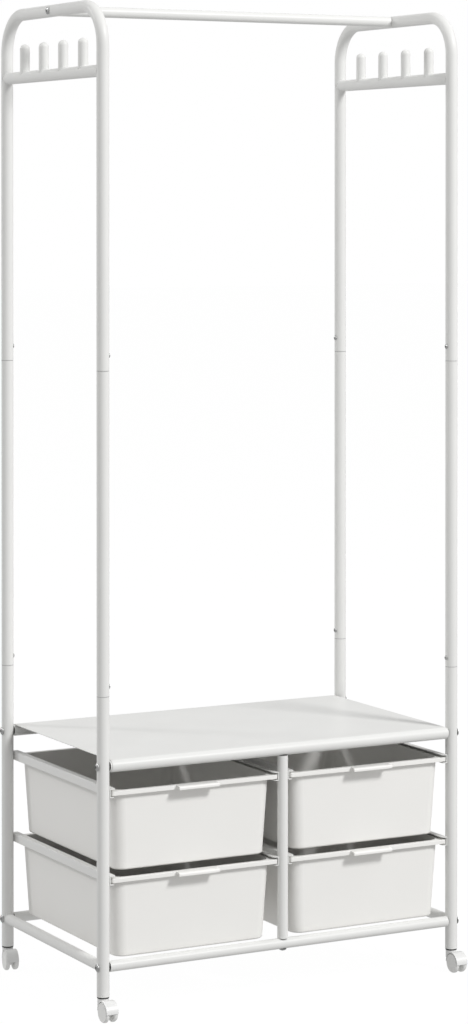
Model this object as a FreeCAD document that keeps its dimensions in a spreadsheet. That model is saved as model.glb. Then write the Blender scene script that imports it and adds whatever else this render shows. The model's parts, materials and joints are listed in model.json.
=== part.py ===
"""Rolling hall stand of painted steel tube: two side hoops with coat pegs, a hanging rail,
a shelf, and four bins that slide on folded rails between the lower posts.

Lengths are in millimetres. +X is the stand's right, -Y its front, +Z up, and the origin is on
the floor, in the middle of the stand's plan.
"""
import FreeCAD
import Part
import Sketcher
import math
import os

# Driving dimensions: alias, value, meaning
DIMENSIONS = (
    ("post_span_x", 710, "left post axis to right post axis"),
    ("post_span_y", 404, "front post axis to rear post axis"),
    ("post_radius", 11, "posts and hoops, outside"),
    ("slim_radius", 9.5, "bars, hanging rail, shelf tubes and centre posts, outside"),
    ("tube_wall", 1, "wall of every tube"),
    ("post_foot", 40.2, "lower end of the posts above the floor"),
    ("low_joint", 559, "joint between lower and middle post"),
    ("high_joint", 1120.5, "joint between middle post and hoop"),
    ("hoop_height", 1752, "axis of the hoop's top"),
    ("hoop_bend", 69, "bend radius of the hoop's axis"),
    ("swage_rise", 1.2, "height of the shoulder below a spigot"),
    ("spigot_length", 45, "spigot above its shoulder"),
    ("slip_fit", 0.05, "radial room in plugs and spigots"),
    ("low_screw_rise", 16, "screw above the low joint"),
    ("high_screw_rise", 26, "screw above the high joint"),
    ("hook_bar_height", 1638, "axis of the hook bars"),
    ("hook_bar_radius", 10.8, "hook bars, outside"),
    ("peg_radius", 9, "coat pegs, outside"),
    ("peg_length", 60, "top of a peg above the hook bar's axis"),
    ("peg_pitch", 82, "peg to peg along the hook bar"),
    ("bottom_bar_height", 90.5, "axis of the four bottom bars"),
    ("shelf_height", 437, "axis of the shelf tubes"),
    ("shelf_sheet", 1.2, "thickness of the shelf panel"),
    ("shelf_gap", 2.5, "end of the shelf panel to the post"),
    ("curl_room", 0.1, "room between shelf tube and curl"),
    ("curl_angle", 240, "wrap of the shelf's curls, from the top"),
    ("upper_rim", 392.8, "top of the upper bins"),
    ("bin_pitch", 151, "upper to lower bins"),
    ("bin_height", 141.5, "rim to underside"),
    ("bin_wall", 2.2, "wall and floor of a bin"),
    ("bin_draft", 3, "draft of a bin's walls, degrees"),
    ("bin_corner", 21, "upright corners of a bin, outside"),
    ("bin_foot_round", 4, "rounding of a bin's lower edge"),
    ("rim_overhang", 8, "rim beyond the wall"),
    ("rim_skirt", 7.2, "height of the rim's outer face"),
    ("rim_sheet", 2, "thickness of the rim and of the finger lip"),
    ("rim_corner", 4, "corners of the rim in plan"),
    ("rim_round", 1, "rounding of the rim's and the lip's upper edges"),
    ("rim_depth", 412.5, "rim, front to back"),
    ("rim_room", 2, "rim to the web of its rail, mean of both sides"),
    ("bin_set_over", 1.2, "bins off the middle of their bay, towards the right"),
    ("runner_drop", 1.7, "runner under the rim, below the rim's outer face"),
    ("runner_width", 1.6, "runner under the rim"),
    ("runner_set_in", 2.8, "runner behind the rim's outer face"),
    ("runner_set_back", 30, "runner's ends from the rim's front and back"),
    ("lip_width", 80, "finger lip, side to side"),
    ("lip_reach", 13.5, "finger lip in front of the rim"),
    ("lip_drop", 6.4, "height of the finger lip's front"),
    ("lip_bend", 4, "outer bend of the finger lip"),
    ("rail_height", 16, "drawer rail, outside"),
    ("rail_lower_flange", 9.5, "drawer rail's lower flange, outside"),
    ("rail_upper_flange", 12, "drawer rail's upper flange, outside"),
    ("rail_sheet", 1.5, "sheet of the drawer rails"),
    ("rail_bend", 2, "outer bend of the drawer rails"),
    ("rail_tip_round", 5, "front corners of the flanges"),
    ("rail_float", 0.3, "room under the runners"),
    ("stop_room", 0.5, "room between a closed bin and its stop"),
    ("bolt_radius", 2.95, "frame bolts, shank"),
    ("bolt_length", 36, "frame bolts, under the head"),
    ("bolt_head_radius", 6.9, "frame bolts, head"),
    ("bolt_head_height", 3.4, "frame bolts, head"),
    ("bolt_hole", 3.1, "holes for the frame bolts"),
    ("screw_radius", 2.4, "joint screws, shank"),
    ("screw_length", 8, "joint screws, under the head"),
    ("screw_head_radius", 4.5, "joint screws, head"),
    ("screw_head_height", 2.4, "joint screws, head"),
    ("screw_hole", 2.5, "holes for the joint screws"),
    ("insert_length", 18, "threaded inserts"),
    ("insert_bore", 3, "threaded inserts, bore"),
    ("insert_set_back", 0.5, "insert below the tube's end"),
    ("pin_radius", 3.5, "locating pin on a centre post"),
    ("pin_length", 9, "locating pin above its post"),
    ("pin_plug_length", 15, "plug below the locating pin"),
    ("pin_hole", 3.6, "hole in the shelf tube for the pin"),
    ("curl_hole", 4, "hole in the shelf's curl for the pin"),
    ("wheel_radius", 17.5, "caster wheels"),
    ("wheel_width", 7, "one caster wheel"),
    ("wheel_gap", 9, "between the two wheels of a caster"),
    ("caster_trail", 19, "caster axle in front of the stem"),
    ("rear_swivel", 9, "turn of the rear casters, degrees"),
    ("hood_radius", 19.5, "caster hood, outside"),
    ("hood_sheet", 1.3, "wall of the caster hood"),
    ("hood_web", 7, "plate between the wheels"),
    ("neck_radius", 10, "neck of the hood"),
    ("neck_top", 37.4, "top of the neck above the floor"),
    ("neck_bottom", 24, "foot of the neck above the floor"),
    ("stem_radius", 4, "caster stem"),
    ("stem_top", 66, "top of the stem above the floor"),
    ("stem_seat", 8, "stem inside the neck"),
    ("collar_radius", 6, "bearing collar on the stem"),
    ("axle_radius", 2, "caster axle"),
    ("socket_flange", 2, "socket below the post's end"),
    ("socket_flange_radius", 10.6, "flange of the socket"),
    ("socket_length", 28, "socket inside the post"),
    ("running_room", 0.05, "radial room of axle and stem"),
)

FRONT, REAR = -1, 1
LEFT, RIGHT = -1, 1
SIDES = (("left", LEFT), ("right", RIGHT))
ENDS = (("front", FRONT), ("rear", REAR))
PEGS_PER_BAR = 4
HEXAGON = 6
TINY = 1e-6
# Shapes that follow another size: shares of a bolt head, the hood's sheet and the wheel
KEY_SHARE, KEY_DEPTH_SHARE, HEAD_RIM_SHARE = 0.4, 0.7, 0.25
HOOD_EDGE_SHARE, HOOD_PLATE_SHARE = 0.75, 0.5
WHEEL_RING_SHARE, WHEEL_HUB_SHARE, WHEEL_SHOULDER_SHARE, WHEEL_DISH_SHARE = 0.8, 0.3, 0.4, 0.08
BEVEL_SHARE = 0.25


class Size:
    """A length that carries its number and the sheet expression that it comes from."""

    def __init__(self, number, text):
        self.number = number
        self.text = text

    def __add__(self, other):
        other = as_size(other)
        return Size(self.number + other.number, f"({self.text} + {other.text})")

    def __sub__(self, other):
        other = as_size(other)
        return Size(self.number - other.number, f"({self.text} - {other.text})")

    def __mul__(self, other):
        other = as_size(other)
        return Size(self.number * other.number, f"({self.text} * {other.text})")

    def __truediv__(self, other):
        other = as_size(other)
        return Size(self.number / other.number, f"({self.text} / {other.text})")

    def __neg__(self):
        return Size(-self.number, f"(0 - {self.text})")


def as_size(length):
    """Plain numbers become sizes too."""
    if isinstance(length, Size):
        return length
    return Size(float(length), f"({float(length)})")


def sine(angle):
    return Size(math.sin(math.radians(angle.number)), f"sin({angle.text})")


def cosine(angle):
    return Size(math.cos(math.radians(angle.number)), f"cos({angle.text})")


class Sizes:
    """The sheet's cells by alias, and the lengths that several sub-parts share."""

    def __init__(self):
        for alias, value, _ in DIMENSIONS:
            setattr(self, alias, Size(float(value), f"Dimensions.{alias}"))
        self.half_x = self.post_span_x / 2
        self.half_y = self.post_span_y / 2
        # The front casters reach furthest forward, so the posts stand behind the middle.
        self.plan_shift = (self.caster_trail + self.hood_radius - self.post_radius) / 2
        self.bar_length = self.post_span_x - self.post_radius * 2
        self.slim_bore = self.slim_radius - self.tube_wall
        self.curl_inside = self.slim_radius + self.curl_room
        self.curl_outside = self.curl_inside + self.shelf_sheet
        self.lower_rim = self.upper_rim - self.bin_pitch
        # A bin hangs by its rim between the webs of an outer and an inner rail.
        self.outer_web = self.half_x - self.post_radius
        self.inner_web = self.slim_radius
        self.bay_centre = (self.outer_web + self.inner_web) / 2
        self.runner_foot = self.rim_skirt + self.runner_drop
        self.rim_width = self.outer_web - self.inner_web - (self.rail_sheet + self.rim_room) * 2
        self.centre_post_top = self.shelf_height - self.curl_outside
        self.centre_post_foot = self.bottom_bar_height + self.slim_radius
        self.well_radius = self.hood_radius - self.hood_sheet
        self.caster_width = self.wheel_width * 2 + self.wheel_gap

    def post_x(self, side):
        return self.half_x * side

    def post_y(self, end):
        return self.half_y * end + self.plan_shift


size = Sizes()


# Building blocks


def bind(thing, name, length):
    """Ties a property to the sheet."""
    thing.setExpression(name, as_size(length).text)


def make_sheet(doc):
    sheet = doc.addObject("Spreadsheet::Sheet", "Dimensions")
    for row, (alias, value, meaning) in enumerate(DIMENSIONS, start=1):
        sheet.set(f"A{row}", alias)
        sheet.set(f"B{row}", str(value))
        sheet.set(f"C{row}", meaning)
        sheet.setAlias(f"B{row}", alias)
    doc.recompute()


def make_body(doc, label, x=0, y=0, z=0, rotation=None):
    """An empty body; the rotation comes before the move to x, y, z."""
    body = doc.addObject("PartDesign::Body", label)
    body.Label = label
    if rotation is not None:
        body.Placement = FreeCAD.Placement(FreeCAD.Vector(), rotation)
    for axis, length in (("x", x), ("y", y), ("z", z)):
        bind(body, f"Placement.Base.{axis}", length)
    return body


def origin_feature(body, role):
    return next(item for item in body.Origin.OriginFeatures if item.Role == role)


def make_sketch(body, plane, lift=0):
    """A sketch on one of the body's own planes, lifted along that plane's normal."""
    sketch = body.newObject("Sketcher::SketchObject", "Outline")
    sketch.AttachmentSupport = [(origin_feature(body, plane), "")]
    sketch.MapMode = "FlatFace"
    bind(sketch, "AttachmentOffset.Base.z", lift)
    return sketch


def pin_point(sketch, curve, point, x, y):
    """Holds a point of the sketch at x, y from the origin."""
    for kind, length, axis in (("DistanceX", as_size(x), -2), ("DistanceY", as_size(y), -1)):
        if abs(length.number) < TINY:
            sketch.addConstraint(Sketcher.Constraint("PointOnObject", curve, point, axis))
            continue
        rule = Sketcher.Constraint(kind, -1, 1, curve, point, length.number)
        bind(sketch, f"Constraints[{sketch.addConstraint(rule)}]", length)


def hold_radius(sketch, curve, radius):
    rule = Sketcher.Constraint("Radius", curve, radius.number)
    bind(sketch, f"Constraints[{sketch.addConstraint(rule)}]", radius)


def draw_circle(sketch, x, y, radius):
    x, y, radius = as_size(x), as_size(y), as_size(radius)
    middle = FreeCAD.Vector(x.number, y.number, 0)
    curve = sketch.addGeometry(Part.Circle(middle, FreeCAD.Vector(0, 0, 1), radius.number))
    pin_point(sketch, curve, 3, x, y)
    hold_radius(sketch, curve, radius)


def arc_between(start, end, radius, anticlockwise):
    """The shorter arc from start to end, as the sketcher's anticlockwise arc."""
    if not anticlockwise:
        start, end = end, start
    chord = end - start
    rise = math.sqrt(max(radius**2 - (chord.Length / 2) ** 2, 0))
    left = FreeCAD.Vector(-chord.y, chord.x, 0).normalize()
    middle = (start + end) / 2 + left * rise
    circle = Part.Circle(middle, FreeCAD.Vector(0, 0, 1), radius)
    angles = [math.atan2(point.y - middle.y, point.x - middle.x) for point in (start, end)]
    return Part.ArcOfCircle(circle, *angles)


def draw_outline(sketch, corners, closed=True):
    """Lines and arcs through the corners, each pinned to the sheet.

    A corner is (x, y) where a line leaves it, or (x, y, radius) where an arc does: positive
    radii turn anticlockwise and negative ones clockwise.
    """
    corners = [tuple(as_size(value) for value in corner) for corner in corners]
    points = [FreeCAD.Vector(corner[0].number, corner[1].number, 0) for corner in corners]
    count = len(corners) if closed else len(corners) - 1
    spans = []
    for index in range(count):
        start, end = points[index], points[(index + 1) % len(points)]
        if len(corners[index]) == 2:
            curve = sketch.addGeometry(Part.LineSegment(start, end))
            spans.append((curve, 1, 2))
            continue
        radius = corners[index][2]
        anticlockwise = radius.number > 0
        length = radius if anticlockwise else -radius
        curve = sketch.addGeometry(arc_between(start, end, length.number, anticlockwise))
        spans.append((curve, 1, 2) if anticlockwise else (curve, 2, 1))
    for index in range(count if closed else count - 1):
        curve, _, last = spans[index]
        follower, first, _ = spans[(index + 1) % count]
        sketch.addConstraint(Sketcher.Constraint("Coincident", curve, last, follower, first))
    for (curve, first, _), corner in zip(spans, corners):
        pin_point(sketch, curve, first, corner[0], corner[1])
    if not closed:
        curve, _, last = spans[-1]
        pin_point(sketch, curve, last, corners[-1][0], corners[-1][1])
    for (curve, _, _), corner in zip(spans, corners):
        if len(corner) == 3:
            hold_radius(sketch, curve, corner[2] if corner[2].number > 0 else -corner[2])


def rectangle(width, depth):
    """Corners of an outline centred on the sketch's origin, anticlockwise."""
    x, y = width / 2, depth / 2
    return [(-x, -y), (x, -y), (x, y), (-x, y)]


def rounded_rectangle(width, depth, radius):
    """Corners of an outline centred on the sketch's origin, anticlockwise."""
    x, y = width / 2, depth / 2
    near_x, near_y = x - radius, y - radius
    return [
        (-near_x, -y), (near_x, -y, radius), (x, -near_y), (x, near_y, radius),
        (near_x, y), (-near_x, y, radius), (-x, near_y), (-x, -near_y, radius),
    ]


def draw_ring(sketch, x, y, radius, wall):
    draw_circle(sketch, x, y, radius)
    draw_circle(sketch, x, y, radius - wall)


def pad(body, sketch, length, symmetric=False, backwards=False, taper=None):
    feature = body.newObject("PartDesign::Pad", "Pad")
    feature.Profile = sketch
    feature.SideType = "Symmetric" if symmetric else "One side"
    feature.Reversed = backwards
    bind(feature, "Length", length)
    if taper is not None:
        bind(feature, "TaperAngle", taper)
    return feature


def cut(body, sketch, length=None, symmetric=False, backwards=False, taper=None):
    """A pocket, through everything where it has no length; it has to take material away."""
    body.Document.recompute()
    before = body.Shape.Volume
    feature = body.newObject("PartDesign::Pocket", "Pocket")
    feature.Profile = sketch
    feature.SideType = "Symmetric" if symmetric else "One side"
    feature.Reversed = backwards
    if length is None:
        feature.Type = "ThroughAll"
    else:
        bind(feature, "Length", length)
    if taper is not None:
        bind(feature, "TaperAngle", taper)
    body.Document.recompute()
    if body.Shape.Volume > before - TINY:
        raise ValueError(f"a pocket of {body.Label} cuts nothing")


def revolve(body, sketch, axis=None):
    """A full turn about the body's upright axis, or about the given reference."""
    feature = body.newObject("PartDesign::Revolution", "Revolution")
    feature.Profile = sketch
    feature.ReferenceAxis = axis or (origin_feature(body, "Z_Axis"), [""])
    feature.Angle = 360


def round_edges(body, radius, wanted):
    """Rounds the edges of the body's last feature that the test picks."""
    body.Document.recompute()
    last = body.Tip
    names = [f"Edge{number}" for number, edge in enumerate(last.Shape.Edges, 1) if wanted(edge)]
    feature = body.newObject("PartDesign::Fillet", "Fillet")
    feature.Base = (last, names)
    bind(feature, "Radius", radius)
    body.Document.recompute()


def lies_at_height(height):
    """Picks edges that run level at the given height."""
    def test(edge):
        return abs(edge.BoundBox.ZMin - height) < TINY and abs(edge.BoundBox.ZMax - height) < TINY
    return test


def leans_over(height):
    """Picks slanted edges that rise through the given height."""
    def test(edge):
        box = edge.BoundBox
        return abs(box.ZLength - height) < TINY and min(box.XLength, box.YLength) > TINY
    return test


def group(doc, label, pieces):
    """One node of several like pieces."""
    node = doc.addObject("Part::Compound", label)
    node.Label = label
    node.Links = pieces
    return node


# Hoops, hook bars and pegs


def make_hoop(doc, label, side):
    """Bent tube whose legs end in the sockets of the high joints."""
    body = make_body(doc, label, size.post_x(side), size.plan_shift)
    y, bend, top = size.half_y, size.hoop_bend, size.hoop_height
    path = make_sketch(body, "YZ_Plane")
    draw_outline(path, [
        (-y, size.high_joint), (-y, top - bend, -bend), (bend - y, top),
        (y - bend, top, -bend), (y, top - bend), (y, size.high_joint),
    ], closed=False)
    section = make_sketch(body, "XY_Plane", size.high_joint)
    draw_ring(section, 0, -y, size.post_radius, size.tube_wall)
    doc.recompute()
    pipe = body.newObject("PartDesign::AdditivePipe", "Pipe")
    pipe.Profile = section
    pipe.Spine = (path, [f"Edge{number}" for number in range(1, len(path.Shape.Edges) + 1)])
    for end in (FRONT, REAR):
        drill_joint(body, side, y * end, size.high_joint + size.high_screw_rise)
    bolt_hole = make_sketch(body, "YZ_Plane")
    draw_circle(bolt_hole, 0, top, size.bolt_hole)
    cut(body, bolt_hole, symmetric=True)
    return body


def drill_joint(body, side, y, z):
    """Screw hole through the wall that faces the stand's middle."""
    hole = make_sketch(body, "YZ_Plane")
    draw_circle(hole, y, z, size.screw_hole)
    cut(body, hole, size.post_radius * 2, backwards=side == LEFT)


def make_coped_bar(doc, label, side, height, radius):
    """Tube between a front and a rear post, its ends cut to the posts' round."""
    body = make_body(doc, label, size.post_x(side), size.plan_shift, height)
    section = make_sketch(body, "XZ_Plane")
    draw_ring(section, 0, 0, radius, size.tube_wall)
    pad(body, section, size.post_span_y, symmetric=True)
    cope = make_sketch(body, "XY_Plane")
    for end in (FRONT, REAR):
        draw_circle(cope, 0, size.half_y * end, size.post_radius)
    cut(body, cope, symmetric=True)
    return body


def make_peg(doc, label, side, y):
    """Domed peg, its foot cut to the hook bar's round."""
    body = make_body(doc, label, size.post_x(side), y, size.hook_bar_height)
    outside = size.peg_radius
    inside = outside - size.tube_wall
    shoulder = size.peg_length - outside
    section = make_sketch(body, "XZ_Plane")
    draw_outline(section, [
        (inside, 0), (outside, 0), (outside, shoulder, outside),
        (0, shoulder + outside), (0, shoulder + inside, -inside), (inside, shoulder),
    ])
    revolve(body, section)
    saddle = make_sketch(body, "XZ_Plane")
    draw_circle(saddle, 0, 0, size.hook_bar_radius)
    cut(body, saddle, symmetric=True)
    return body


def make_pegs(doc, label, side):
    """Pegs at equal steps along a hook bar, even about its middle."""
    pegs = []
    for index in range(PEGS_PER_BAR):
        y = size.peg_pitch * (index - (PEGS_PER_BAR - 1) / 2) + size.plan_shift
        pegs.append(make_peg(doc, f"{label}_{index + 1}", side, y))
    return group(doc, label, pegs)


# Posts


def make_post(doc, label, side, end, foot, joint, joint_screw_rise):
    """Tube with a swaged spigot above its upper joint, and the spigot's screw hole."""
    body = make_body(doc, label, size.post_x(side), size.post_y(end))
    outside, wall = size.post_radius, size.tube_wall
    bore = outside - wall
    spigot = bore - size.slip_fit
    shoulder = joint - size.swage_rise
    tip = joint + size.spigot_length
    section = make_sketch(body, "XZ_Plane")
    draw_outline(section, [
        (bore, foot), (outside, foot), (outside, shoulder), (spigot, joint),
        (spigot, tip), (spigot - wall, tip), (spigot - wall, joint), (bore, shoulder),
    ])
    revolve(body, section)
    drill_joint(body, side, 0, joint + joint_screw_rise)
    return body


def make_middle_post(doc, label, side, end):
    body = make_post(doc, label, side, end, size.low_joint, size.high_joint, size.high_screw_rise)
    drill_joint(body, side, 0, size.low_joint + size.low_screw_rise)
    return body


def make_lower_post(doc, label, side, end):
    """Lower post, drilled right through for the bottom bar's and the shelf tube's bolt."""
    body = make_post(doc, label, side, end, size.post_foot, size.low_joint, size.low_screw_rise)
    holes = make_sketch(body, "YZ_Plane")
    for height in (size.bottom_bar_height, size.shelf_height):
        draw_circle(holes, 0, height, size.bolt_hole)
    cut(body, holes, symmetric=True)
    return body


# Bars, shelf and centre posts


def make_bar(doc, label, y, height):
    """Straight-cut tube between a left and a right post or hoop."""
    body = make_body(doc, label, 0, y, height)
    section = make_sketch(body, "YZ_Plane")
    draw_ring(section, 0, 0, size.slim_radius, size.tube_wall)
    pad(body, section, size.bar_length, symmetric=True)
    return body


def make_bottom_bar(doc, label, end):
    """Bar with an upright hole for the bolt of the centre post that stands on it."""
    body = make_bar(doc, label, size.post_y(end), size.bottom_bar_height)
    hole = make_sketch(body, "XY_Plane")
    draw_circle(hole, 0, 0, size.bolt_hole)
    cut(body, hole, symmetric=True)
    return body


def make_shelf_tube(doc, label, end):
    """Bar with a hole underneath for the centre post's locating pin."""
    body = make_bar(doc, label, size.post_y(end), size.shelf_height)
    hole = make_sketch(body, "XY_Plane")
    draw_circle(hole, 0, 0, size.pin_hole)
    cut(body, hole, size.slim_radius * 2)
    return body


def curl_point(end, radius, angle):
    """Point of a shelf curl, its angle counted from the top outwards and down."""
    return (sine(angle) * radius + size.half_y) * end, cosine(angle) * radius


def make_shelf_panel(doc, label):
    """Sheet laid over both shelf tubes and curled round each."""
    body = make_body(doc, label, 0, size.plan_shift, size.shelf_height)
    outer, inner = size.curl_outside, size.curl_inside
    top = as_size(0)
    whole = size.curl_angle
    half = whole / 2
    section = make_sketch(body, "YZ_Plane")
    draw_outline(section, [
        curl_point(REAR, outer, top),
        (*curl_point(FRONT, outer, top), outer), (*curl_point(FRONT, outer, half), outer),
        curl_point(FRONT, outer, whole),
        (*curl_point(FRONT, inner, whole), -inner), (*curl_point(FRONT, inner, half), -inner),
        curl_point(FRONT, inner, top),
        (*curl_point(REAR, inner, top), -inner), (*curl_point(REAR, inner, half), -inner),
        curl_point(REAR, inner, whole),
        (*curl_point(REAR, outer, whole), outer), (*curl_point(REAR, outer, half), outer),
    ])
    pad(body, section, size.bar_length - size.shelf_gap * 2, symmetric=True)
    holes = make_sketch(body, "XY_Plane", -size.slim_bore)
    for end in (FRONT, REAR):
        draw_circle(holes, 0, size.half_y * end, size.curl_hole)
    cut(body, holes, size.slim_radius)
    return body


def make_centre_post(doc, label, end):
    """Straight-cut tube that stands on a bottom bar and carries the shelf tube above it."""
    body = make_body(doc, label, 0, size.post_y(end), size.centre_post_foot)
    section = make_sketch(body, "XY_Plane")
    draw_ring(section, 0, 0, size.slim_radius, size.tube_wall)
    pad(body, section, size.centre_post_top - size.centre_post_foot)
    return body


# Drawer rails and bins


def make_rail(doc, label, web_x, facing, rim_height):
    """Folded channel, open on the side it faces, with its rear end folded in as a stop."""
    height = rim_height - size.runner_foot - size.rail_float - size.rail_sheet
    body = make_body(doc, label, web_x, size.plan_shift, height)
    sheet, bend, top = size.rail_sheet, size.rail_bend, size.rail_height
    tip, upper_tip = size.rail_lower_flange * facing, size.rail_upper_flange * facing
    web, fold = sheet * facing, bend * facing
    outer, inner = bend * facing, (bend - sheet) * facing
    front = size.rim_depth / 2
    stop = front + size.stop_room
    section = make_sketch(body, "XZ_Plane", front)
    draw_outline(section, [
        (upper_tip, top), (fold, top, outer), (0, top - bend), (0, bend, outer),
        (fold, 0), (tip, 0), (tip, sheet), (fold, sheet, -inner),
        (web, bend), (web, top - bend, -inner), (fold, top - sheet), (upper_tip, top - sheet),
    ])
    pad(body, section, front + stop + sheet, backwards=True)
    stop_face = make_sketch(body, "XZ_Plane", -stop)
    draw_outline(stop_face, [(0, bend), (tip, bend), (tip, top - bend), (0, top - bend)])
    pad(body, stop_face, sheet, backwards=True)

    def is_front_tip(edge):
        box = edge.BoundBox
        upright = box.ZLength > TINY and box.XLength < TINY and box.YLength < TINY
        at_front = abs(box.YMin + front.number) < TINY
        at_tip = any(abs(box.XMin - end.number) < TINY for end in (tip, upper_tip))
        return upright and at_front and at_tip

    round_edges(body, size.rail_tip_round, is_front_tip)
    return body


def make_bin(doc, label, side, rim_height):
    """Moulded bin: drafted walls, a rim with a turned-down skirt, and a curled finger lip."""
    place_x = size.bay_centre * side + size.bin_set_over
    body = make_body(doc, label, place_x, size.plan_shift, rim_height)
    overhang, wall = size.rim_overhang * 2, size.bin_wall
    width, depth = size.rim_width - overhang, size.rim_depth - overhang

    block = make_sketch(body, "XY_Plane")
    draw_outline(block, rectangle(width, depth))
    pad(body, block, size.bin_height, backwards=True, taper=-size.bin_draft)
    cavity = make_sketch(body, "XY_Plane")
    draw_outline(cavity, rectangle(width - wall * 2, depth - wall * 2))
    floor = size.bin_height - wall
    cut(body, cavity, floor, taper=-size.bin_draft)
    for drop, corner, foot in ((floor, size.bin_corner - wall, size.bin_foot_round - wall),
                               (size.bin_height, size.bin_corner, size.bin_foot_round)):
        round_edges(body, corner, leans_over(drop.number))
        round_edges(body, foot, lies_at_height(-drop.number))

    rim = make_sketch(body, "XY_Plane")
    draw_outline(rim, rounded_rectangle(size.rim_width, size.rim_depth, size.rim_corner))
    draw_outline(rim, rounded_rectangle(width - wall, depth - wall, size.bin_corner - wall / 2))
    pad(body, rim, size.rim_sheet, backwards=True)

    skirt = make_sketch(body, "XY_Plane")
    inset = size.rim_sheet * 2
    draw_outline(skirt, rounded_rectangle(size.rim_width, size.rim_depth, size.rim_corner))
    draw_outline(skirt, rounded_rectangle(
        size.rim_width - inset, size.rim_depth - inset, size.rim_corner - size.rim_sheet))
    pad(body, skirt, size.rim_skirt, backwards=True)

    add_runners(body)
    add_finger_lip(body)

    at_top = lies_at_height(0)
    bend_line = size.lip_bend - size.rim_depth / 2 - size.lip_reach
    round_edges(body, size.rim_round, lambda edge: (
        at_top(edge) and abs(edge.BoundBox.YMax - bend_line.number) > TINY))
    return body


def add_runners(body):
    """Ribs under the rim, on which the bin slides in its rails."""
    outer = size.rim_width / 2 - size.runner_set_in
    inner = outer - size.runner_width
    reach = size.rim_depth / 2 - size.runner_set_back
    section = make_sketch(body, "XY_Plane")
    for left, right in ((inner, outer), (-outer, -inner)):
        draw_outline(section, [(left, -reach), (right, -reach), (right, reach), (left, reach)])
    pad(body, section, size.runner_foot, backwards=True)


def add_finger_lip(body):
    """The rim carried forward and turned down, open at both ends."""
    sheet, bend = size.rim_sheet, size.lip_bend
    root = sheet - size.rim_depth / 2
    front = -size.rim_depth / 2 - size.lip_reach
    drop = -size.lip_drop
    section = make_sketch(body, "YZ_Plane")
    draw_outline(section, [
        (root, 0), (front + bend, 0, bend), (front, -bend), (front, drop),
        (front + sheet, drop), (front + sheet, -bend, sheet - bend), (front + bend, -sheet),
        (root, -sheet),
    ])
    pad(body, section, size.lip_width, symmetric=True)


# Fasteners and plugs


def make_button_bolt(doc, label, place, direction, radius, length, head_radius, head_height):
    """Domed socket-head bolt; its head seats at the place and its shank runs along direction."""
    rotation = FreeCAD.Rotation(FreeCAD.Vector(0, 0, 1), FreeCAD.Vector(*direction))
    body = make_body(doc, label, *place, rotation)
    rim = head_height * HEAD_RIM_SHARE
    crown = head_height - rim
    dome = (head_radius * head_radius + crown * crown) / (crown * 2)
    section = make_sketch(body, "XZ_Plane")
    draw_outline(section, [
        (0, -head_height, dome), (head_radius, -rim), (head_radius, 0),
        (radius, 0), (radius, length), (0, length),
    ])
    revolve(body, section)
    key = head_radius * KEY_SHARE
    recess = make_sketch(body, "XY_Plane", -head_height)
    turns = [math.radians(360 * index / HEXAGON) for index in range(HEXAGON)]
    draw_outline(recess, [(key * math.cos(turn), key * math.sin(turn)) for turn in turns])
    cut(body, recess, head_height * KEY_DEPTH_SHARE, backwards=True)
    return body


def make_frame_bolts(doc, label):
    """Bolts of the cross tubes, and those that come up through the bottom bars."""
    heights = [(y, z) for _, end in ENDS for y, z in (
        (size.post_y(end), size.bottom_bar_height), (size.post_y(end), size.shelf_height))]
    heights.append((size.plan_shift, size.hoop_height))
    places = []
    for _, side in SIDES:
        outside = (size.half_x + size.post_radius) * side
        places += [((outside, y, z), (-side, 0, 0)) for y, z in heights]
    under_bar = size.bottom_bar_height - size.slim_radius
    places += [((0, size.post_y(end), under_bar), (0, 0, 1)) for _, end in ENDS]
    return group(doc, label, [
        make_button_bolt(doc, f"frame_bolt_{number}", place, direction, size.bolt_radius,
                         size.bolt_length, size.bolt_head_radius, size.bolt_head_height)
        for number, (place, direction) in enumerate(places, 1)])


def make_joint_screws(doc, label):
    """One screw in each tube joint, its head towards the stand's middle."""
    screws = []
    for _, side in SIDES:
        face = (size.half_x - size.post_radius) * side
        for _, end in ENDS:
            for height in (size.low_joint + size.low_screw_rise,
                           size.high_joint + size.high_screw_rise):
                screws.append(make_button_bolt(
                    doc, f"joint_screw_{len(screws) + 1}", (face, size.post_y(end), height),
                    (side, 0, 0), size.screw_radius, size.screw_length,
                    size.screw_head_radius, size.screw_head_height))
    return group(doc, label, screws)


def make_insert(doc, label, place, direction):
    """Bored plug set just inside a tube's end."""
    rotation = FreeCAD.Rotation(FreeCAD.Vector(0, 0, 1), FreeCAD.Vector(*direction))
    body = make_body(doc, label, *place, rotation)
    section = make_sketch(body, "XY_Plane", size.insert_set_back)
    draw_circle(section, 0, 0, size.slim_bore - size.slip_fit)
    draw_circle(section, 0, 0, size.insert_bore)
    pad(body, section, size.insert_length)
    return body


def make_inserts(doc, label):
    """Inserts of the cross tubes' ends and of the centre posts' feet."""
    ends = [(size.post_y(end), height) for _, end in ENDS
            for height in (size.bottom_bar_height, size.shelf_height)]
    ends.append((size.plan_shift, size.hoop_height))
    places = []
    for _, side in SIDES:
        face = (size.half_x - size.post_radius) * side
        places += [((face, y, z), (-side, 0, 0)) for y, z in ends]
    places += [((0, size.post_y(end), size.centre_post_foot), (0, 0, 1)) for _, end in ENDS]
    return group(doc, label, [
        make_insert(doc, f"threaded_insert_{number}", place, direction)
        for number, (place, direction) in enumerate(places, 1)])


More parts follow.
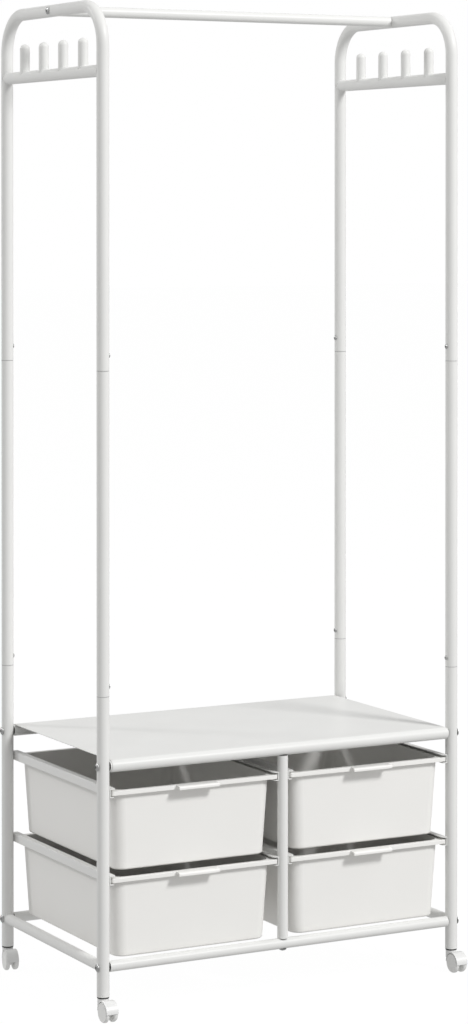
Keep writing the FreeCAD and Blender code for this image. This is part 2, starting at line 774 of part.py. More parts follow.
def make_centre_post_plugs(doc, label):
    """Plugs in the heads of the centre posts, each with a pin that finds the shelf tube's hole."""
    plugs = []
    outside, pin = size.slim_bore - size.slip_fit, size.pin_radius
    point = pin * BEVEL_SHARE
    for name, end in ENDS:
        body = make_body(doc, f"{name}_centre_post_plug", 0, size.post_y(end), size.centre_post_top)
        section = make_sketch(body, "XZ_Plane")
        draw_outline(section, [
            (0, -size.pin_plug_length), (outside, -size.pin_plug_length), (outside, 0), (pin, 0),
            (pin, size.pin_length - point), (pin - point, size.pin_length), (0, size.pin_length),
        ])
        revolve(body, section)
        plugs.append(body)
    return group(doc, label, plugs)


def make_sockets(doc, label):
    """Flanged plugs in the posts' feet, bored for the caster stems."""
    sockets = []
    foot = size.post_foot
    outside = size.post_radius - size.tube_wall - size.slip_fit
    flange, under = size.socket_flange_radius, foot - size.socket_flange
    bore = size.stem_radius + size.running_room
    top = foot + size.socket_length
    roof = top - size.tube_wall
    for side_name, side in SIDES:
        for end_name, end in ENDS:
            body = make_body(doc, f"{end_name}_{side_name}_socket",
                             size.post_x(side), size.post_y(end))
            section = make_sketch(body, "XZ_Plane")
            draw_outline(section, [
                (bore, under), (flange, under), (flange, foot), (outside, foot),
                (outside, roof), (outside - size.tube_wall, top), (0, top), (0, roof),
                (bore, roof),
            ])
            revolve(body, section)
            sockets.append(body)
    return group(doc, label, sockets)


# Casters


def caster_body(doc, label, side, end):
    """Body on a caster's stem axis; the rear casters are turned a little outwards."""
    turn = size.rear_swivel.number * side if end == REAR else 0
    rotation = FreeCAD.Rotation(FreeCAD.Vector(0, 0, 1), turn)
    return make_body(doc, label, size.post_x(side), size.post_y(end), 0, rotation)


def make_hood(doc, label, side, end):
    """Moulded hood: a half-round cover, the plate between the wheels, and the neck."""
    body = caster_body(doc, label, side, end)
    axle_y, axle_z, cover = -size.caster_trail, size.wheel_radius, size.hood_radius
    shell = make_sketch(body, "YZ_Plane")
    draw_outline(shell, [
        (axle_y + cover, axle_z, cover), (axle_y, axle_z + cover, cover),
        (axle_y - cover, axle_z),
    ])
    pad(body, shell, size.caster_width, symmetric=True)

    def is_cover_edge(edge):
        box = edge.BoundBox
        at_side = abs(abs(box.XMin) - size.caster_width.number / 2) < TINY
        return at_side and box.XLength < TINY and box.ZLength > TINY

    round_edges(body, size.hood_sheet * HOOD_EDGE_SHARE, is_cover_edge)
    neck = make_sketch(body, "XY_Plane", size.neck_bottom)
    draw_circle(neck, 0, 0, size.neck_radius)
    pad(body, neck, size.neck_top - size.neck_bottom)
    plate = make_sketch(body, "YZ_Plane")
    draw_circle(plate, axle_y, axle_z, size.wheel_radius * HOOD_PLATE_SHARE)
    pad(body, plate, size.hood_web, symmetric=True)
    for wheel_side in (LEFT, RIGHT):
        well = make_sketch(body, "YZ_Plane", size.hood_web / 2 * wheel_side)
        draw_circle(well, axle_y, axle_z, size.well_radius)
        cut(body, well, backwards=wheel_side == RIGHT)
    axle_hole = make_sketch(body, "YZ_Plane")
    draw_circle(axle_hole, axle_y, axle_z, size.axle_radius + size.running_room)
    cut(body, axle_hole, symmetric=True)
    stem_hole = make_sketch(body, "XY_Plane", size.neck_top)
    draw_circle(stem_hole, 0, 0, size.stem_radius)
    cut(body, stem_hole, size.stem_seat)
    return body


def make_stem(doc, label, side, end):
    """Pin pressed into the neck, with the collar that bears on the socket."""
    body = caster_body(doc, label, side, end)
    shaft, collar, top = size.stem_radius, size.collar_radius, size.stem_top
    bearing = size.post_foot - size.socket_flange - size.running_room * 2
    bevel = shaft * BEVEL_SHARE
    section = make_sketch(body, "XZ_Plane")
    draw_outline(section, [
        (0, size.neck_top - size.stem_seat), (shaft, size.neck_top - size.stem_seat),
        (shaft, size.neck_top), (collar, size.neck_top), (collar, bearing), (shaft, bearing),
        (shaft, top - bevel), (shaft - bevel, top), (0, top),
    ])
    revolve(body, section)
    return body


def make_axle(doc, label, side, end):
    body = caster_body(doc, label, side, end)
    section = make_sketch(body, "YZ_Plane")
    draw_circle(section, -size.caster_trail, size.wheel_radius, size.axle_radius)
    pad(body, section, size.caster_width - size.tube_wall * 2, symmetric=True)
    return body


def make_wheel(doc, label, side, end, wheel_side):
    """Wheel with a rounded shoulder and a dished outer face, bored blind for the axle."""
    body = caster_body(doc, label, side, end)
    inside = size.wheel_gap / 2
    outside = inside + size.wheel_width
    tread = size.wheel_radius
    shoulder, dish = size.wheel_width * WHEEL_SHOULDER_SHARE, size.wheel_width * WHEEL_DISH_SHARE
    bore, blind = size.axle_radius, outside - size.tube_wall
    ring, hub = tread * WHEEL_RING_SHARE, tread * WHEEL_HUB_SHARE
    section = make_sketch(body, "XY_Plane", size.wheel_radius)
    bind(section, "AttachmentOffset.Base.y", -size.caster_trail)
    outline = [
        (inside, bore), (inside, tread - shoulder / 2), (inside + shoulder / 2, tread),
        (outside - shoulder, tread, -shoulder), (outside, tread - shoulder), (outside, ring),
        (outside - dish, ring - dish), (outside - dish, hub + dish), (outside, hub),
        (outside, 0), (blind, 0), (blind, bore),
    ]
    draw_outline(section, [(corner[0] * wheel_side, corner[1],
                            *(bend * wheel_side for bend in corner[2:])) for corner in outline])
    revolve(body, section, (section, ["H_Axis"]))
    return body


def make_wheels(doc, label, side, end):
    return group(doc, label, [
        make_wheel(doc, f"{label}_{name}", side, end, wheel_side) for name, wheel_side in SIDES])


# The whole stand


def make_nodes(doc):
    """Every sub-part of the stand, in the order it would go together."""
    nodes = []
    for name, side in SIDES:
        nodes.append(make_hoop(doc, f"{name}_hoop", side))
        nodes.append(make_coped_bar(doc, f"{name}_hook_bar", side,
                                    size.hook_bar_height, size.hook_bar_radius))
        nodes.append(make_pegs(doc, f"{name}_coat_pegs", side))
        nodes.append(make_coped_bar(doc, f"{name}_bottom_bar", side,
                                    size.bottom_bar_height, size.slim_radius))
    nodes.append(make_bar(doc, "top_rail", size.plan_shift, size.hoop_height))
    for end_name, end in ENDS:
        nodes.append(make_bottom_bar(doc, f"{end_name}_bottom_bar", end))
        nodes.append(make_shelf_tube(doc, f"shelf_{end_name}_tube", end))
        nodes.append(make_centre_post(doc, f"{end_name}_centre_post", end))
        for name, side in SIDES:
            nodes.append(make_middle_post(doc, f"{end_name}_{name}_middle_post", side, end))
            nodes.append(make_lower_post(doc, f"{end_name}_{name}_lower_post", side, end))
    nodes.append(make_shelf_panel(doc, "shelf_panel"))
    for level, rim_height in (("upper", size.upper_rim), ("lower", size.lower_rim)):
        for name, side in SIDES:
            bay = f"{level}_{name}"
            nodes.append(make_rail(doc, f"{bay}_outer_rail", size.outer_web * side, -side, rim_height))
            nodes.append(make_rail(doc, f"{bay}_inner_rail", size.inner_web * side, side, rim_height))
            nodes.append(make_bin(doc, f"{bay}_bin", side, rim_height))
    nodes.append(make_frame_bolts(doc, "frame_bolts"))
    nodes.append(make_joint_screws(doc, "joint_screws"))
    nodes.append(make_inserts(doc, "threaded_inserts"))
    nodes.append(make_centre_post_plugs(doc, "centre_post_plugs"))
    nodes.append(make_sockets(doc, "caster_sockets"))
    for end_name, end in ENDS:
        for name, side in SIDES:
            caster = f"{end_name}_{name}_caster"
            nodes.append(make_hood(doc, f"{caster}_hood", side, end))
            nodes.append(make_stem(doc, f"{caster}_stem", side, end))
            nodes.append(make_axle(doc, f"{caster}_axle", side, end))
            nodes.append(make_wheels(doc, f"{caster}_wheels", side, end))
    return nodes


def check(doc, nodes):
    """Stops if a feature failed or a sub-part has no sound solid."""
    failed = [item.Label for item in doc.Objects
              if "Invalid" in item.State or "Error" in item.State]
    if failed:
        raise RuntimeError(f"failed features: {failed}")
    for node in nodes:
        shape = node.Shape
        if shape.isNull() or not shape.isValid() or not shape.Solids:
            raise RuntimeError(f"no sound solid in {node.Label}")


def main():
    doc = FreeCAD.newDocument("hall_stand")
    make_sheet(doc)
    nodes = make_nodes(doc)
    doc.recompute()
    check(doc, nodes)
    os.makedirs("parts", exist_ok=True)
    for node in nodes:
        node.Shape.exportStep(os.path.join("parts", f"{node.Label}.step"))
    print(len(nodes), "sub-parts written")


main()
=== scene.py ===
"""Looks of the rolling hall stand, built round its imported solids.

Lengths are in metres, or in millimetres where a comment or a name says so.
"""
import json
import math

import bpy
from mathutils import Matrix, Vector


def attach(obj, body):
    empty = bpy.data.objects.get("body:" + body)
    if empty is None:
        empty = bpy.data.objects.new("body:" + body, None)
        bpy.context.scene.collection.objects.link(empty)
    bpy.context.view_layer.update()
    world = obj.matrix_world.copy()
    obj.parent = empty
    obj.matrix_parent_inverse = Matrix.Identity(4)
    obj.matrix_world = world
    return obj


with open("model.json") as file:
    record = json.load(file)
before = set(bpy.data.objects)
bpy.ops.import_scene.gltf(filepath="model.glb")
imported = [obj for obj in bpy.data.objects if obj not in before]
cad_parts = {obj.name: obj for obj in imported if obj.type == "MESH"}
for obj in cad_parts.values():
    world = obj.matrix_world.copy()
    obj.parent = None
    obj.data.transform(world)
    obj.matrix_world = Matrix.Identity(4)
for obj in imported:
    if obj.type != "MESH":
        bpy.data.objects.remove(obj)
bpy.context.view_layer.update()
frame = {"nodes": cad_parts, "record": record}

MM = 0.001
WHITE = (1, 1, 1, 1)
NODES = frame["nodes"]

# Middles of the welded tubes, heights of the seams in the uprights, and tube radii, in millimetres
SIDE_X = (-355, 355)
POST_Y = (-188.25, 215.75)
PEG_Y = (-109.25, -27.25, 54.75, 136.75)
HOOK_BAR_Z, BOTTOM_BAR_Z = 1638, 90.5
SEAM_Z = (559, 1120.5)
POST_RADIUS, HOOK_BAR_RADIUS, PEG_RADIUS, BOTTOM_BAR_RADIUS = 11, 10.8, 9, 9.5

# Turns about X, in degrees, of a ring on top of a tube and on the inner sides of both posts
ON_TOP, INWARD = 0, (-90, 90)

# Weld beads, in millimetres and in counts; the ripples' depth is a share of the bead's radius
BEAD_RADIUS = 1.3
BEAD_STEPS, BEAD_SIDES = 96, 8
BEAD_RIPPLES, BEAD_RIPPLE_DEPTH = 22, 0.12

# Bare spigot in a seam: a square ring of grey steel just below the paint, in millimetres and in
# counts. It fills the gap almost flush, so its grey is also painted shade for the shadow in the
# gap.
SEAM_WIDTH, SEAM_INSET, SEAM_STEPS = 0.9, 0.05, 96

# Covers on the outer faces of the caster wheels, in millimetres, counts and shares of a radius
WHEEL_FACE = 11.5
COVER_RADIUS, COVER_RISE, COVER_SINK = 16.2, 0.45, 0.7
DISH_RADIUS, DISH_RISE, DISH_RINGS = 14.6, 0.1, (0.3, 0.7, 1)
COVER_STEPS, COVER_BENDS = 72, 6

# How fully a material's relief turns the light, from 0 to 1
RELIEF_STRENGTH = 0.25

# The photograph's view: an almost level camera to the front left of the stand, shifted downwards.
# Its upright lines are parallel, so it leans down only as far as that stays true to half a pixel.
# The view's centre is in pixels, the sensor in millimetres, and the angles are in degrees.
IMAGE_WIDTH, IMAGE_HEIGHT = 468, 1024
SENSOR = 36.0
FOCAL_PIXELS = 2993.1
CENTRE_COLUMN, CENTRE_ROW = 233.93, 226.87
CAMERA_PLACE = (-2.6011, -4.8347, 1.4089)
CAMERA_YAW, CAMERA_LEAN = 28.307, 0.45
CAMERA_REACH = 200

# The room's light on the stand by where it comes from, and the backdrop that only the camera sees
FROM_BELOW, FROM_LEVEL, FROM_ABOVE = 0.57, 0.37, 0.607
HORIZON_BLUR = 0.1
BACKDROP = 1.0

# Watts, width, distance, and in degrees the azimuth from the front towards the right and the
# elevation. The key stands at the front right and the broad fill at the left. The small light at
# the rear left shines past the shelf into the bins.
LIGHTS = {
    "key": (598, 2.15, 9.5, 27, 37),
    "fill": (45, 6, 6, -110, 40),
    "back": (90, 0.9, 7, -130, 28),
}
LIGHTS_AIM = (0, 0, 0.8)

# The floor's glow makes it almost white, and its dark tint keeps the shadows on it faint
FLOOR_HALF_SIZE = 40
FLOOR_TINT, FLOOR_GLOW = "#303030", 0.98


# Small tools


def linear(hex_colour):
    """An sRGB hex value as linear RGBA."""
    channels = [int(hex_colour[index:index + 2], 16) / 255 for index in (1, 3, 5)]
    return (*[c / 12.92 if c <= 0.04045 else ((c + 0.055) / 1.055) ** 2.4 for c in channels], 1.0)


def add_node(tree, kind, settings=None, *values, **inputs):
    """A node with its settings; an input, by order or by name, is a value or a socket to link."""
    node = tree.nodes.new(kind)
    for name, value in (settings or {}).items():
        setattr(node, name, value)
    pairs = list(zip(node.inputs, values))
    for name, value in inputs.items():
        wanted = name.replace("_", " ")
        pairs.append((next(s for s in node.inputs if s.enabled and s.name == wanted), value))
    for socket, value in pairs:
        if isinstance(value, bpy.types.NodeSocket):
            tree.links.new(value, socket)
        else:
            socket.default_value = value
    return node


def add_object(name, data):
    """An object at the origin of the scene."""
    thing = bpy.data.objects.new(name, data)
    bpy.context.scene.collection.objects.link(thing)
    return thing


def new_material(name):
    """An empty node material: its tree, its shader and its Object coordinates."""
    material = bpy.data.materials.new(name)
    material.use_nodes = True
    tree = material.node_tree
    tree.nodes.clear()
    shader = add_node(tree, "ShaderNodeBsdfPrincipled")
    add_node(tree, "ShaderNodeOutputMaterial", Surface=shader.outputs["BSDF"])
    place = add_node(tree, "ShaderNodeTexCoord").outputs["Object"]
    return material, tree, shader, place


def per_metre(millimetres):
    """Texture scale whose pattern repeats about once in that many millimetres."""
    return 1 / (millimetres * MM)


def finish(tree, shader, cloud, relief, tints, roughness, depth_mm):
    """One pattern moves a shader between two tints and two roughnesses; another is its relief."""
    tint = add_node(tree, "ShaderNodeMix", {"data_type": "RGBA"}, Factor=cloud,
                    A=linear(tints[0]), B=linear(tints[1]))
    gloss = add_node(tree, "ShaderNodeMapRange", Value=cloud,
                     To_Min=roughness[0], To_Max=roughness[1])
    bump = add_node(tree, "ShaderNodeBump", Height=relief, Strength=RELIEF_STRENGTH,
                    Distance=depth_mm * MM)
    tree.links.new(tint.outputs["Result"], shader.inputs["Base Color"])
    tree.links.new(gloss.outputs["Result"], shader.inputs["Roughness"])
    tree.links.new(bump.outputs["Normal"], shader.inputs["Normal"])


# Materials


def powder_coated_steel():
    """Polyester powder baked on tube: near white, half gloss, with the low waves of orange peel."""
    material, tree, shader, place = new_material("powder_coated_steel")
    # Real orange peel is about 1 mm; it is drawn coarser so that close views show it.
    peel_mm, cloud_mm = 2.5, 90
    peel = add_node(tree, "ShaderNodeTexNoise", Vector=place,
                    Scale=per_metre(peel_mm), Detail=2.0)
    cloud = add_node(tree, "ShaderNodeTexNoise", Vector=place,
                     Scale=per_metre(cloud_mm), Detail=3.0)
    finish(tree, shader, cloud.outputs["Fac"], peel.outputs["Fac"],
           tints=("#E4E4E2", "#E9E9E7"), roughness=(0.3, 0.4), depth_mm=0.05)
    shader.inputs["IOR"].default_value = 1.5
    shader.inputs["Specular IOR Level"].default_value = 0.22
    return material


def moulded_polypropylene():
    """Polypropylene from a finely eroded mould: soft white, satin, a little grain."""
    material, tree, shader, place = new_material("moulded_polypropylene")
    # The real grain is finer; it is drawn coarser so that close views show it.
    grain_mm, flow_mm = 1.6, 120
    grain = add_node(tree, "ShaderNodeTexNoise", Vector=place,
                     Scale=per_metre(grain_mm), Detail=4.0)
    flow = add_node(tree, "ShaderNodeTexNoise", Vector=place,
                    Scale=per_metre(flow_mm), Detail=2.0)
    finish(tree, shader, flow.outputs["Fac"], grain.outputs["Fac"],
           tints=("#F0EFEC", "#F3F2EF"), roughness=(0.42, 0.52), depth_mm=0.04)
    shader.inputs["IOR"].default_value = 1.49
    return material


def glossy_nylon():
    """Caster hoods of nylon from a polished mould: soft gloss, faint waves where it cooled."""
    material, tree, shader, place = new_material("glossy_nylon")
    flow_mm, sink_mm = 14, 5
    flow = add_node(tree, "ShaderNodeTexNoise", Vector=place,
                    Scale=per_metre(flow_mm), Detail=2.0)
    sink = add_node(tree, "ShaderNodeTexNoise", Vector=place,
                    Scale=per_metre(sink_mm), Detail=1.0)
    finish(tree, shader, flow.outputs["Fac"], sink.outputs["Fac"],
           tints=("#E6E6E5", "#ECECEB"), roughness=(0.32, 0.42), depth_mm=0.08)
    shader.inputs["IOR"].default_value = 1.53
    return material


def wheel_nylon():
    """Off-white nylon, satin and finely scuffed from rolling on floors."""
    material, tree, shader, place = new_material("wheel_nylon")
    stain_mm, scuff_mm = 6, 1.2
    stain = add_node(tree, "ShaderNodeTexNoise", Vector=place,
                     Scale=per_metre(stain_mm), Detail=5.0)
    scuff = add_node(tree, "ShaderNodeTexNoise", Vector=place,
                     Scale=per_metre(scuff_mm), Detail=3.0)
    finish(tree, shader, stain.outputs["Fac"], scuff.outputs["Fac"],
           tints=("#E9E9E7", "#F3F3F1"), roughness=(0.4, 0.6), depth_mm=0.05)
    shader.inputs["IOR"].default_value = 1.53
    return material


def black_polyethylene():
    """Black moulded plugs and sockets: matt, with the grain of a spark-eroded mould."""
    material, tree, shader, place = new_material("black_polyethylene")
    # The real grain is finer; it is drawn coarser so that close views show it.
    bloom_mm, grain_mm = 2, 0.8
    bloom = add_node(tree, "ShaderNodeTexNoise", Vector=place,
                     Scale=per_metre(bloom_mm), Detail=3.0)
    grain = add_node(tree, "ShaderNodeTexNoise", Vector=place,
                     Scale=per_metre(grain_mm), Detail=2.0)
    finish(tree, shader, bloom.outputs["Fac"], grain.outputs["Fac"],
           tints=("#1A1A1A", "#262626"), roughness=(0.55, 0.65), depth_mm=0.06)
    shader.inputs["IOR"].default_value = 1.51
    return material


def zinc_plated_steel():
    """Bolts and pins with bright zinc: grey metal, cloudy and slightly pitted on a small scale."""
    material, tree, shader, place = new_material("zinc_plated_steel")
    # Real pits are finer; they are drawn coarser so that close views show them.
    spangle_mm, pit_mm = 3, 0.7
    spangle = add_node(tree, "ShaderNodeTexNoise", Vector=place,
                       Scale=per_metre(spangle_mm), Detail=4.0)
    pits = add_node(tree, "ShaderNodeTexNoise", Vector=place,
                    Scale=per_metre(pit_mm), Detail=2.0)
    finish(tree, shader, spangle.outputs["Fac"], pits.outputs["Fac"],
           tints=("#A9AAAB", "#C4C4C2"), roughness=(0.34, 0.5), depth_mm=0.02)
    shader.inputs["Metallic"].default_value = 1.0
    return material


FINISHES = {
    "frame_paint": powder_coated_steel(),
    "bin_plastic": moulded_polypropylene(),
    "caster_plastic": glossy_nylon(),
    "wheel_plastic": wheel_nylon(),
    "black_plastic": black_polyethylene(),
    "bright_steel": zinc_plated_steel(),
}


def dress_solids():
    """Each CAD node takes the finish of its slot in the record."""
    for part in frame["record"]["subparts"]:
        mesh = NODES[part["node"]].data
        mesh.materials.clear()
        mesh.materials.append(FINISHES[part["material_slot"]])


# Welds and seams


def bead_tree():
    """A rippled weld round a tube that stands on a round carrier, one at each joint point."""
    tree = bpy.data.node_groups.new("weld_bead", "GeometryNodeTree")
    tree.interface.new_socket("Joints", in_out="INPUT", socket_type="NodeSocketGeometry")
    for name in ("Tube Radius", "Carrier Radius", "Bead Radius"):
        tree.interface.new_socket(name, in_out="INPUT", socket_type="NodeSocketFloat")
    tree.interface.new_socket("Material", in_out="INPUT", socket_type="NodeSocketMaterial")
    tree.interface.new_socket("Beads", in_out="OUTPUT", socket_type="NodeSocketGeometry")
    given = add_node(tree, "NodeGroupInput").outputs

    ring = add_node(tree, "GeometryNodeCurvePrimitiveCircle", Resolution=BEAD_STEPS,
                    Radius=given["Tube Radius"])
    # The carrier lies along Y, so over each point's X the ring rises to the carrier's height.
    across = add_node(tree, "ShaderNodeSeparateXYZ", None,
                      add_node(tree, "GeometryNodeInputPosition").outputs[0]).outputs["X"]
    flipped = add_node(tree, "ShaderNodeMath", {"operation": "MULTIPLY"}, across, -1.0)
    carrier = add_node(tree, "ShaderNodeMath", {"operation": "POWER"},
                       given["Carrier Radius"], 2.0)
    square = add_node(tree, "ShaderNodeMath", {"operation": "MULTIPLY_ADD"},
                      flipped.outputs[0], across, carrier.outputs[0])
    rise = add_node(tree, "ShaderNodeMath", {"operation": "SQRT"}, square.outputs[0])
    saddle = add_node(tree, "GeometryNodeSetPosition", Geometry=ring.outputs["Curve"],
                      Offset=add_node(tree, "ShaderNodeCombineXYZ", Z=rise.outputs[0]).outputs[0])

    along = add_node(tree, "GeometryNodeSplineParameter").outputs["Factor"]
    phase = add_node(tree, "ShaderNodeMath", {"operation": "MULTIPLY"},
                     along, BEAD_RIPPLES * math.tau)
    wave = add_node(tree, "ShaderNodeMath", {"operation": "SINE"}, phase.outputs[0])
    swell = add_node(tree, "ShaderNodeMath", {"operation": "MULTIPLY_ADD"},
                     wave.outputs[0], BEAD_RIPPLE_DEPTH, 1.0)
    section = add_node(tree, "GeometryNodeCurvePrimitiveCircle", Resolution=BEAD_SIDES,
                       Radius=given["Bead Radius"])
    bead = add_node(tree, "GeometryNodeCurveToMesh", Curve=saddle.outputs["Geometry"],
                    Profile_Curve=section.outputs["Curve"], Scale=swell.outputs[0])

    turn = add_node(tree, "GeometryNodeInputNamedAttribute", {"data_type": "FLOAT_VECTOR"},
                    Name="turn")
    placed = add_node(tree, "GeometryNodeInstanceOnPoints", Points=given["Joints"],
                      Instance=bead.outputs["Mesh"], Rotation=turn.outputs["Attribute"])
    whole = add_node(tree, "GeometryNodeRealizeInstances", None, placed.outputs["Instances"])
    coated = add_node(tree, "GeometryNodeSetMaterial", Geometry=whole.outputs["Geometry"],
                      Material=given["Material"])
    add_node(tree, "NodeGroupOutput", None, coated.outputs["Geometry"])
    return tree


def seam_and_gap_shade_tree():
    """A square ring at each joint point: the bare steel between two tubes, whose grey is also
    painted shade for the gap.
    """
    tree = bpy.data.node_groups.new("tube_seam_and_gap_shade", "GeometryNodeTree")
    tree.interface.new_socket("Joints", in_out="INPUT", socket_type="NodeSocketGeometry")
    for name in ("Ring Radius", "Ring Width"):
        tree.interface.new_socket(name, in_out="INPUT", socket_type="NodeSocketFloat")
    tree.interface.new_socket("Material", in_out="INPUT", socket_type="NodeSocketMaterial")
    tree.interface.new_socket("Rings", in_out="OUTPUT", socket_type="NodeSocketGeometry")
    given = add_node(tree, "NodeGroupInput").outputs

    round_path = add_node(tree, "GeometryNodeCurvePrimitiveCircle", Resolution=SEAM_STEPS,
                          Radius=given["Ring Radius"])
    square = add_node(tree, "GeometryNodeCurvePrimitiveQuadrilateral",
                      Width=given["Ring Width"], Height=given["Ring Width"])
    ring = add_node(tree, "GeometryNodeCurveToMesh", Curve=round_path.outputs["Curve"],
                    Profile_Curve=square.outputs["Curve"])
    placed = add_node(tree, "GeometryNodeInstanceOnPoints", Points=given["Joints"],
                      Instance=ring.outputs["Mesh"])
    whole = add_node(tree, "GeometryNodeRealizeInstances", None, placed.outputs["Instances"])
    bare = add_node(tree, "GeometryNodeSetMaterial", Geometry=whole.outputs["Geometry"],
                    Material=given["Material"])
    add_node(tree, "NodeGroupOutput", None, bare.outputs["Geometry"])
    return tree


def repeat_at(name, tree, joints, sizes, slot, smooth):
    """A tree's shape at each joint, as one plain piece of the frame.

    A joint is a point in millimetres and a turn about X in degrees. Sizes are in millimetres.
    """
    mesh = bpy.data.meshes.new(name)
    mesh.from_pydata([[value * MM for value in point] for point, _ in joints], [], [])
    turns = mesh.attributes.new("turn", "FLOAT_VECTOR", "POINT")
    for item, (_, degrees) in zip(turns.data, joints):
        item.vector = (math.radians(degrees), 0, 0)
    maker = add_object(name, mesh)
    modifier = maker.modifiers.new("shapes", "NODES")
    modifier.node_group = tree
    inputs = {"Material": FINISHES[slot], **{key: value * MM for key, value in sizes.items()}}
    for socket in tree.interface.items_tree:
        if socket.name in inputs:
            modifier[socket.identifier] = inputs[socket.name]
    evaluated = maker.evaluated_get(bpy.context.evaluated_depsgraph_get())
    made = bpy.data.meshes.new_from_object(evaluated)
    maker.modifiers.remove(modifier)
    maker.data = made
    for face in made.polygons:
        face.use_smooth = smooth
    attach(maker, "frame")


def bar_ends(height):
    """Joints at both ends of the two side bars at that height."""
    return [((x, y, height), turn) for x in SIDE_X for y, turn in zip(POST_Y, INWARD)]


def make_welds():
    """Beads round the feet of the pegs and the ends of the hook bars and side bottom bars."""
    peg_feet = [((x, y, HOOK_BAR_Z), ON_TOP) for x in SIDE_X for y in PEG_Y]
    kinds = {
        "peg_welds": (peg_feet, PEG_RADIUS, HOOK_BAR_RADIUS),
        "hook_bar_welds": (bar_ends(HOOK_BAR_Z), HOOK_BAR_RADIUS, POST_RADIUS),
        "bottom_bar_welds": (bar_ends(BOTTOM_BAR_Z), BOTTOM_BAR_RADIUS, POST_RADIUS),
    }
    tree = bead_tree()
    for name, (joints, tube_radius, carrier_radius) in kinds.items():
        sizes = {"Tube Radius": tube_radius, "Carrier Radius": carrier_radius,
                 "Bead Radius": BEAD_RADIUS}
        repeat_at(name, tree, joints, sizes, "frame_paint", smooth=True)


def make_seams_and_gap_shade():
    """Rings of bare steel in the two joints of each upright; their grey is also painted shade for
    the gaps.
    """
    joints = [((x, y, z - SEAM_WIDTH / 2), ON_TOP) for x in SIDE_X for y in POST_Y for z in SEAM_Z]
    sizes = {"Ring Radius": POST_RADIUS - SEAM_INSET - SEAM_WIDTH / 2, "Ring Width": SEAM_WIDTH}
    # The grey of these rings is partly the spigot's steel and partly painted shade for the gap.
    repeat_at("upright_seams_and_gap_shade", seam_and_gap_shade_tree(), joints, sizes, "bright_steel", smooth=False)


# Wheel covers


def cover_outline():
    """Radius and rise over the wheel's face, from inside the dish round the rim to the foot."""
    rim = COVER_RADIUS - COVER_RISE
    points = [(DISH_RADIUS * share, DISH_RISE) for share in DISH_RINGS]
    points.append(((DISH_RADIUS + rim) / 2, (DISH_RISE + COVER_RISE) / 2))
    for step in range(COVER_BENDS + 1):
        angle = math.pi / 2 * step / COVER_BENDS
        points.append((rim + COVER_RISE * math.sin(angle), COVER_RISE * math.cos(angle)))
    return points + [(COVER_RADIUS, -COVER_SINK)]


def turned_points(outline, hub, out):
    """The outline's rings of points round an axle, on the face that looks that way out."""
    up = Vector((0, 0, 1))
    across = up.cross(out)
    points = []
    for radius, rise in outline:
        for step in range(COVER_STEPS):
            angle = math.tau * step / COVER_STEPS
            arm = up * math.sin(angle) + across * math.cos(angle)
            points.append(hub + (out * (WHEEL_FACE + rise) + arm * radius) * MM)
    return points


def turned_faces(outline, first):
    """Faces between those rings, with both ends closed; first is the number of the first point."""
    rows = [range(first + COVER_STEPS * row, first + COVER_STEPS * (row + 1))
            for row in range(len(outline))]
    faces = [list(rows[0]), list(reversed(rows[-1]))]
    for inner, outer in zip(rows, rows[1:]):
        for step in range(COVER_STEPS):
            after = (step + 1) % COVER_STEPS
            faces.append([inner[after], inner[step], outer[step], outer[after]])
    return faces


def make_wheel_covers():
    """A dished cover with a rounded rim on the outside of each caster wheel."""
    outline = cover_outline()
    for joint in frame["record"]["behaviour"]["joints"]:
        if not joint["name"].endswith("_roll"):
            continue
        hub, axle = Vector(joint["pos_m"]), Vector(joint["axis"])
        points, faces = [], []
        for out in (axle, -axle):
            faces += turned_faces(outline, len(points))
            points += turned_points(outline, hub, out)
        name = joint["child"].replace("wheel_set", "wheel_covers")
        mesh = bpy.data.meshes.new(name)
        mesh.from_pydata(points, [], faces)
        for face in mesh.polygons:
            face.use_smooth = True
        mesh.materials.append(FINISHES["wheel_plastic"])
        covers = add_object(name, mesh)
        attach(covers, joint["child"])


# Studio


def make_floor():
    """A pale floor that takes faint shadows and throws no light back on the stand."""
    low, high = -FLOOR_HALF_SIZE, FLOOR_HALF_SIZE
    mesh = bpy.data.meshes.new("floor")
    mesh.from_pydata([(low, low, 0), (high, low, 0), (high, high, 0), (low, high, 0)],
                     [], [(0, 1, 2, 3)])
    floor = add_object("floor", mesh)
    material, _, shader, _ = new_material("pale_floor")
    shader.inputs["Base Color"].default_value = linear(FLOOR_TINT)
    shader.inputs["Roughness"].default_value = 1.0
    shader.inputs["Specular IOR Level"].default_value = 0.0
    shader.inputs["Emission Color"].default_value = WHITE
    shader.inputs["Emission Strength"].default_value = FLOOR_GLOW
    mesh.materials.append(material)
    floor.visible_diffuse = False
    floor.visible_glossy = False


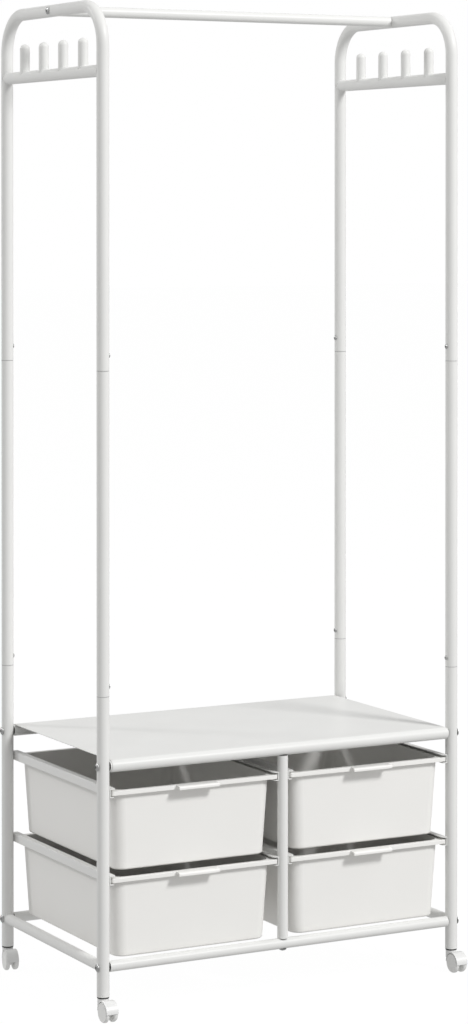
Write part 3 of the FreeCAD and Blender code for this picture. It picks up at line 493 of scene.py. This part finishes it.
def make_world():
    """White to the camera; to the stand, a room with pale floor, grey walls and a paler ceiling."""
    world = bpy.data.worlds.new("studio")
    bpy.context.scene.world = world
    world.use_nodes = True
    tree = world.node_tree
    tree.nodes.clear()
    way = add_node(tree, "ShaderNodeTexCoord").outputs["Generated"]
    height = add_node(tree, "ShaderNodeSeparateXYZ", None, way).outputs["Z"]
    above = add_node(tree, "ShaderNodeMapRange", Value=height,
                     To_Min=FROM_LEVEL, To_Max=FROM_ABOVE)
    below = add_node(tree, "ShaderNodeMapRange", Value=height,
                     From_Min=0.0, From_Max=-HORIZON_BLUR,
                     To_Min=above.outputs["Result"], To_Max=FROM_BELOW)
    seen = add_node(tree, "ShaderNodeLightPath").outputs["Is Camera Ray"]
    strength = add_node(tree, "ShaderNodeMapRange", Value=seen,
                        To_Min=below.outputs["Result"], To_Max=BACKDROP)
    room = add_node(tree, "ShaderNodeBackground", Color=WHITE,
                    Strength=strength.outputs["Result"])
    add_node(tree, "ShaderNodeOutputWorld", Surface=room.outputs["Background"])


def make_light(name, watts, width, distance, azimuth, elevation):
    """A round soft box that looks at the stand."""
    light = bpy.data.lights.new(name, "AREA")
    light.shape = "DISK"
    light.size = width
    light.energy = watts
    box = add_object(name, light)
    box.rotation_euler = (math.radians(90 - elevation), 0, math.radians(azimuth))
    away = box.rotation_euler.to_matrix() @ Vector((0, 0, distance))
    box.location = Vector(LIGHTS_AIM) + away


def make_camera():
    """The photograph's view, with colours shown as they are."""
    data = bpy.data.cameras.new("camera")
    data.sensor_width = SENSOR
    data.lens = SENSOR * FOCAL_PIXELS / IMAGE_HEIGHT
    data.shift_x = (IMAGE_WIDTH / 2 - CENTRE_COLUMN) / IMAGE_HEIGHT
    data.shift_y = (CENTRE_ROW - IMAGE_HEIGHT / 2) / IMAGE_HEIGHT
    data.clip_end = CAMERA_REACH
    camera = add_object("camera", data)
    camera.location = CAMERA_PLACE
    camera.rotation_euler = (math.radians(90 - CAMERA_LEAN), 0, math.radians(-CAMERA_YAW))
    bpy.context.scene.camera = camera
    bpy.context.scene.view_settings.view_transform = "Standard"


dress_solids()
make_welds()
make_seams_and_gap_shade()
make_wheel_covers()
make_floor()
make_world()
for light_name, setting in LIGHTS.items():
    make_light(light_name, *setting)
make_camera()
